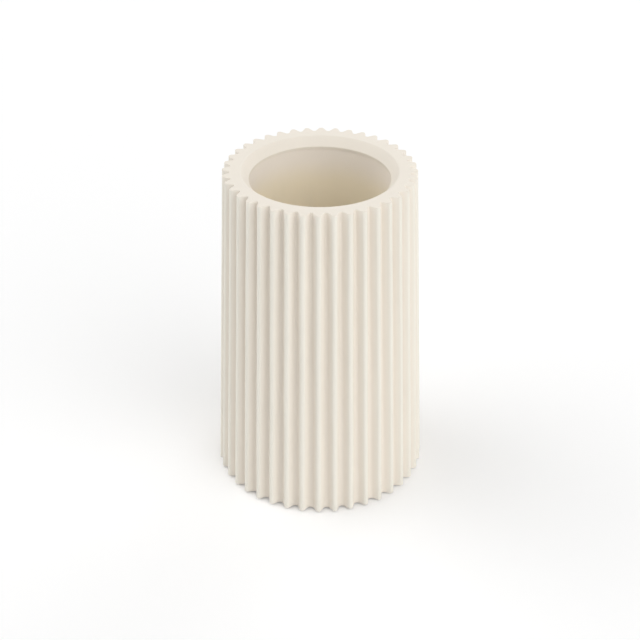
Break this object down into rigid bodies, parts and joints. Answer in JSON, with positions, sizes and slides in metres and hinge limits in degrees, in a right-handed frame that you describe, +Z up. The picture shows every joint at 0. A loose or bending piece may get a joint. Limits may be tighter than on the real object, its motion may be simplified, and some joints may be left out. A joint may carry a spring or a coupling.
{
  "type": "pen holder cup",
  "caption": "Round free-standing desk cup for pens, with a fluted tapered shell, a flat bevelled rim, a smooth inner cup and a non-slip foot pad.",
  "frame": {"origin": "on the desk, under the middle of the cup: the centre of the foot pad's underside", "axes": "+Z up along the cup's axis, out of its mouth; -Y is the front, where a ridge stands"},
  "size_m": [0.0654, 0.0654, 0.102],
  "materials": {
    "ivory_plastic": "fine matte moulded ivory plastic",
    "screw_steel": "bright zinc-plated steel",
    "adhesive_film": "translucent double-sided film",
    "pad_rubber": "matte warm grey silicone rubber"
  },
  "bodies": {
    "root": {"fluted_shell": "ivory_plastic", "inner_cup": "ivory_plastic", "base_plate": "ivory_plastic", "base_screws": "screw_steel", "pad_adhesive": "adhesive_film", "foot_pad": "pad_rubber"}
  },
  "joints": []
}
